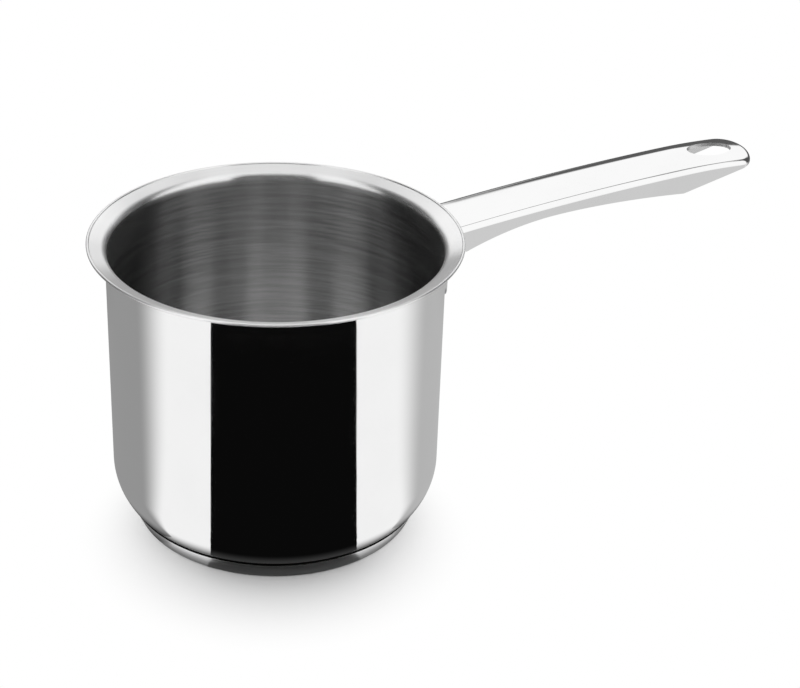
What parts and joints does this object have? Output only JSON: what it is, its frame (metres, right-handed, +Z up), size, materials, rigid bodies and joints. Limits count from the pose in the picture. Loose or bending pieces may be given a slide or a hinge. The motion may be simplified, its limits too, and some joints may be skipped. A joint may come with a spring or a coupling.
{
  "type": "milk pan",
  "caption": "Tall narrow stainless-steel pan with a flared pouring lip, an encapsulated base and a long hollow-backed handle with a hanging hole.",
  "frame": {"origin": "centre of the base's flat underside, where the pan rests", "axes": "+Z up along the pan's axis; +X towards the tip of the handle, which is the longest extent; the pan is symmetric about the XZ plane"},
  "size_m": [0.3015, 0.1566, 0.1397],
  "materials": {
    "shell_steel": "mirror polished outside, satin with fine circumferential lines inside",
    "core_aluminium": "plain pressed",
    "cap_steel": "satin, turned",
    "handle_steel": "mirror polished outside, plain pressed inside",
    "bracket_steel": "polished",
    "weld_steel": "ground weld"
  },
  "bodies": {
    "root": {"pan_body": "shell_steel", "base_core": "core_aluminium", "base_cap": "cap_steel", "handle": "handle_steel", "handle_bracket": "bracket_steel", "wall_welds": "weld_steel", "handle_welds": "weld_steel"}
  },
  "joints": []
}
